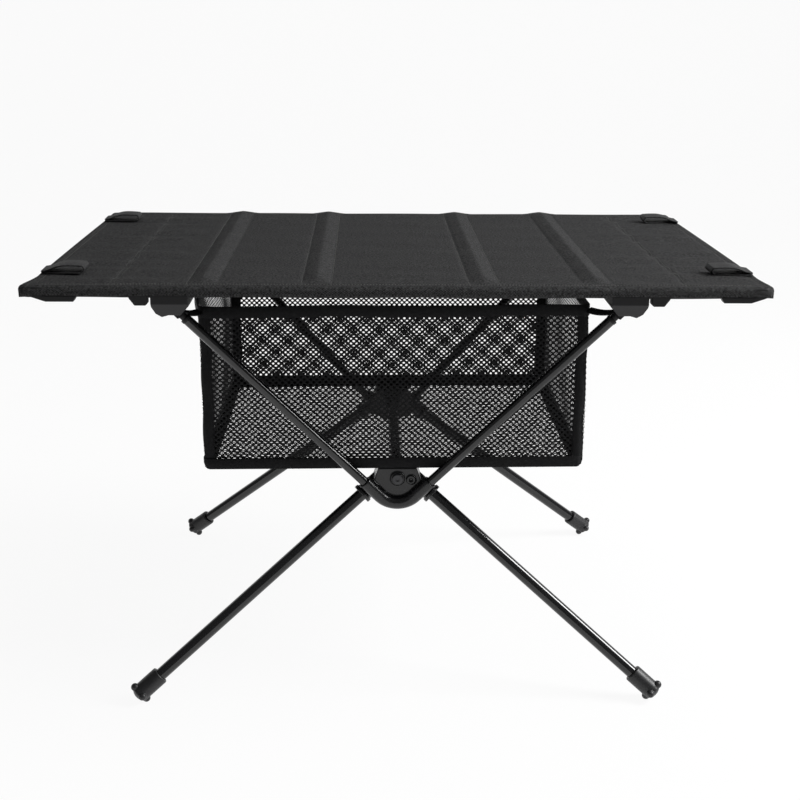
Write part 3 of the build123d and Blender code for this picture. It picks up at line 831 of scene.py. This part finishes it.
# ---------------------------------------------------------------- Stitching
# Grey polyester lockstitch, about ten stitches to the inch, along the hems, beside each
# batten sleeve and in two rows where the end bands are sewn on.

stitch_long = 0.0017
stitch_pitch = 0.0025
stitch_half_wide = 0.00052
stitch_rise = 0.00032
stitch_sunk = 0.00005
stitch_shape = ((-0.5, 0, -0.1), (0.5, 0, -0.1), (0, 0.5, 0), (0, -0.5, 0), (0, 0, 1), (0, 0, -1))
stitch_sides = ((0, 3, 4), (3, 1, 4), (1, 2, 4), (2, 0, 4), (3, 0, 5), (1, 3, 5), (2, 1, 5), (0, 2, 5))
twin_row = 0.0016
row_inset = 0.004
hem_row_inset = 0.012
sleeve_seam = rib_half + 0.0008
stitch_points, stitch_faces = [], []


def surface_height(x, y):
    from_end, from_side = half_long - abs(x), half_deep - abs(y)
    drop = max(edge_drop(from_side, rail_hem), edge_drop(from_end, rod_hem))
    return flat_z - drop + rib_at(x, y) + slack_lift(x, y)


def sew(start, end):
    """A row of stitches on the cloth between two points given as (x, y)."""
    start, end = Vector(start), Vector(end)
    way = (end - start).normalized()
    across = Vector((-way.y, way.x))
    for index in range(int((end - start).length / stitch_pitch)):
        middle = start + way * (index + 0.5) * stitch_pitch
        lean = across * random.uniform(-0.00012, 0.00012)
        first = len(stitch_points)
        for along, side, rise in stitch_shape:
            spot = middle + lean + way * along * stitch_long + across * side * stitch_half_wide
            height = surface_height(spot.x, spot.y) - stitch_sunk + rise * stitch_rise
            stitch_points.append((spot.x, spot.y, height))
        for a, b, c in stitch_sides:
            stitch_faces.append((first + a, first + b, first + c))


for side in (-1, 1):
    long_row = side * (half_deep - rail_seam)
    end_row = side * (half_long - rod_seam)
    sew((-half_long + hem_row_inset, long_row), (half_long - hem_row_inset, long_row))
    sew((end_row, -half_deep + hem_row_inset), (end_row, half_deep - hem_row_inset))
    for row in (-twin_row, twin_row):
        sew((side * seam_x + row, -half_deep + row_inset), (side * seam_x + row, half_deep - row_inset))
for middle in ribs:
    for side in (-1, 1):
        row = middle + side * sleeve_seam
        sew((row, -half_deep + row_inset), (row, half_deep - row_inset))
stitching = mesh_piece("top_stitching", stitch_points, stitch_faces)
grey_thread, tree, shader = new_material("grey_thread", (0.09, 0.09, 0.085), 0.6)
marks = place_effect(tree, handling_marks, Cloud_Scale=140.0, Grain_Scale=2500.0, Grain_Part=0.5)
tint_between(tree, shader, marks.outputs["Mask"], (0.045, 0.045, 0.043), (0.15, 0.15, 0.14))
stand_for(stitching, grey_thread, "table_top", "top_cloth")

# ---------------------------------------------------------------- Webbing loops
# Black 25 mm webbing, folded back on itself with the fold towards the middle of the table
# and both ends sewn down at the end hem. The fold stands open, ready for a cord or hook.

web_wide = 0.0248
web_thick = 0.0013
web_skew = 0.0009
fold_wide = 0.0039
fold_high_half = 0.0031


def rounded_line(line):
    """A smooth curve through the points of a line, with two more points in each stretch."""
    fine = []
    for index in range(len(line) - 1):
        before, here = line[max(index - 1, 0)], line[index]
        there, after = line[index + 1], line[min(index + 2, len(line) - 1)]
        for t in (0, 0.34, 0.67):
            straight = (there - before) * t
            curve = (2 * before - 5 * here + 4 * there - after) * t * t
            twist = (3 * here - before - 3 * there + after) * t ** 3
            fine.append(0.5 * (2 * here + straight + curve + twist))
    return fine + [line[-1]]


loop_material, tree, shader = new_material("black_webbing", (0.016, 0.016, 0.017), 0.65)
weave = place_effect(tree, woven_threads, Across_Pitch=0.0022, Along_Pitch=0.0013, Slub=0.8)
tint_between(tree, shader, weave.outputs["Light Thread"], (0.005, 0.005, 0.0055), (0.040, 0.040, 0.041))
raise_surface(tree, shader, weave.outputs["Height"], 0.0002)
socket_value(shader, "Specular IOR Level", 0.2)
for corner in corners:
    sx, sy = corner_signs(corner)
    low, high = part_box(f"corner_loop_{corner}")
    inner_x = min(abs(low[0]), abs(high[0]))
    outer_x = max(abs(low[0]), abs(high[0]))
    middle_y = (low[1] + high[1]) / 2
    section = [(outer_x - 0.0005, flat_z + 0.0009), (outer_x - 0.010, flat_z + 0.00085),
               (outer_x - 0.020, flat_z + 0.0009), (inner_x + 0.0065, flat_z + 0.0010)]
    for step in range(9):
        turn = math.radians(-80 - step * 20)
        section.append((inner_x + 0.0046 + fold_wide * math.cos(turn),
                        flat_z + 0.0040 + fold_high_half * math.sin(turn)))
    section += [(inner_x + 0.0115, flat_z + 0.0072), (inner_x + 0.0185, flat_z + 0.0070),
                (inner_x + 0.0245, flat_z + 0.0056), (outer_x - 0.0060, flat_z + 0.0034),
                (outer_x - 0.0005, flat_z + 0.0024)]
    spine = []
    for i, p in enumerate(rounded_line([Vector((sx * x, middle_y, z)) for x, z in section])):
        spine.append(p + Vector((0, web_skew * math.sin(i * 0.16 + sx + 2 * sy), 0)))
    width_way = [Vector((0.03 * sx, 1, 0))] * len(spine)
    web = ribbon(f"corner_loop_{corner}_webbing", spine, width_way, web_wide, web_thick)
    stand_for(web, loop_material, "table_top", "loop_webbing", f"corner_loop_{corner}")

# ---------------------------------------------------------------- Rails, rods, ferrules and battens
# Aluminium tubes in the hems and flat plastic battens in the sleeves, out of sight in use.

dress(anodised_tube, *[f"{end}_rail_{side}" for end in ("front", "back") for side in ("left", "right")],
      "front_rail_ferrule", "back_rail_ferrule", "left_end_rod", "right_end_rod")
batten_wide = 0.0135
batten_thick = 0.0011
backing_wide = 0.025
backing_thick = 0.0008
lengthwise = Vector((1, 0, 0))
for number, middle in enumerate(ribs, 1):
    spine = [Vector((middle, -0.168 + 0.012 * k, flat_z - 0.00045)) for k in range(30)]
    name = f"rib_batten_{number}"
    batten = ribbon(f"{name}_strip", spine, [lengthwise] * len(spine), batten_wide, batten_thick)
    stand_for(batten, matt_nylon, "table_top", "batten_plastic", name)
    backing = []
    for k in range(33):
        y = -0.184 + 0.0115 * k
        backing.append(Vector((middle, y, flat_z - 0.00165 + slack_lift(middle, y))))
    sleeve = ribbon(f"rib_sleeve_{number}_backing", backing, [lengthwise] * len(backing), backing_wide,
                    backing_thick)
    stand_for(sleeve, woven_cloth, "table_top", "top_cloth")

# ---------------------------------------------------------------- Studio
# A white sweep behind and below, a soft lamp at the right, and a broad, weak one above.

white_shown = 0.93
world_level = 0.16
camera_place = (-0.02887, -1.24268, 0.585)
camera_way = (0.02645, 0.95895, -0.28234)
camera_roll = 0.48
camera_lens = 59.85

sweep_line = [(-3.2, 0.0), (1.6, 0.0), (2.2, 0.05), (2.7, 0.25), (3.0, 0.6), (3.1, 1.1), (3.1, 3.4)]
points = [(x, y, z) for y, z in sweep_line for x in (-5.0, 5.0)]
faces = [(2 * k, 2 * k + 1, 2 * k + 3, 2 * k + 2) for k in range(len(sweep_line) - 1)]
sweep = mesh_piece("studio_sweep", points, faces)
white_paper = bpy.data.materials.new("white_paper")
white_paper.use_nodes = True
tree = white_paper.node_tree
shader = tree.nodes["Principled BSDF"]
socket_value(shader, "Base Color", (0.95, 0.95, 0.95, 1))
socket_value(shader, "Roughness", 0.9)
socket_value(shader, "Specular IOR Level", 0.0)
glow = node_at(tree, "ShaderNodeEmission")
glow.inputs["Strength"].default_value = 1.0
seen = node_at(tree, "ShaderNodeLightPath")
shown = maths(tree, "MAXIMUM", seen.outputs["Is Camera Ray"],
              maths(tree, "MAXIMUM", seen.outputs["Is Glossy Ray"], seen.outputs["Is Transmission Ray"]))
part = maths(tree, "MULTIPLY", shown, white_shown)
blend = node_at(tree, "ShaderNodeMixShader")
tree.links.new(part, blend.inputs[0])
tree.links.new(shader.outputs[0], blend.inputs[1])
tree.links.new(glow.outputs[0], blend.inputs[2])
tree.links.new(blend.outputs[0], tree.nodes["Material Output"].inputs["Surface"])
sweep.data.materials.append(white_paper)
sweep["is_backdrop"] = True

world = bpy.data.worlds.new("studio")
bpy.context.scene.world = world
world.use_nodes = True
world.node_tree.nodes["Background"].inputs["Color"].default_value = (1, 1, 1, 1)
world.node_tree.nodes["Background"].inputs["Strength"].default_value = world_level


def lamp(name, place, aim, wide, tall, power):
    data = bpy.data.lights.new(name, "AREA")
    data.shape = "RECTANGLE"
    data.size, data.size_y = wide, tall
    data.energy = power
    light = bpy.data.objects.new(name, data)
    light.location = place
    light.rotation_euler = (Vector(aim) - Vector(place)).to_track_quat("-Z", "Y").to_euler()
    bpy.context.scene.collection.objects.link(light)
    return light


lamp("right_lamp", (1.75, -0.25, 1.40), (0, 0, 0.25), 0.8, 1.0, 56)
lamp("soft_top_lamp", (0.3, 0.2, 2.4), (0, 0, 0.3), 1.6, 1.2, 7)

camera_data = bpy.data.cameras.new("camera")
camera_data.lens = camera_lens
camera_data.sensor_width = 36
camera = bpy.data.objects.new("camera", camera_data)
bpy.context.scene.collection.objects.link(camera)
camera.location = camera_place
camera.rotation_mode = "QUATERNION"
roll = Matrix.Rotation(math.radians(camera_roll), 4, "Z").to_quaternion()
camera.rotation_quaternion = Vector(camera_way).to_track_quat("-Z", "Y") @ roll
bpy.context.scene.camera = camera
bpy.context.scene.view_settings.view_transform = "Standard"

({"cad": [[float(v) for v in c] for c in cad_box],
           "visual": [[float(v) for v in c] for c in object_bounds()]})
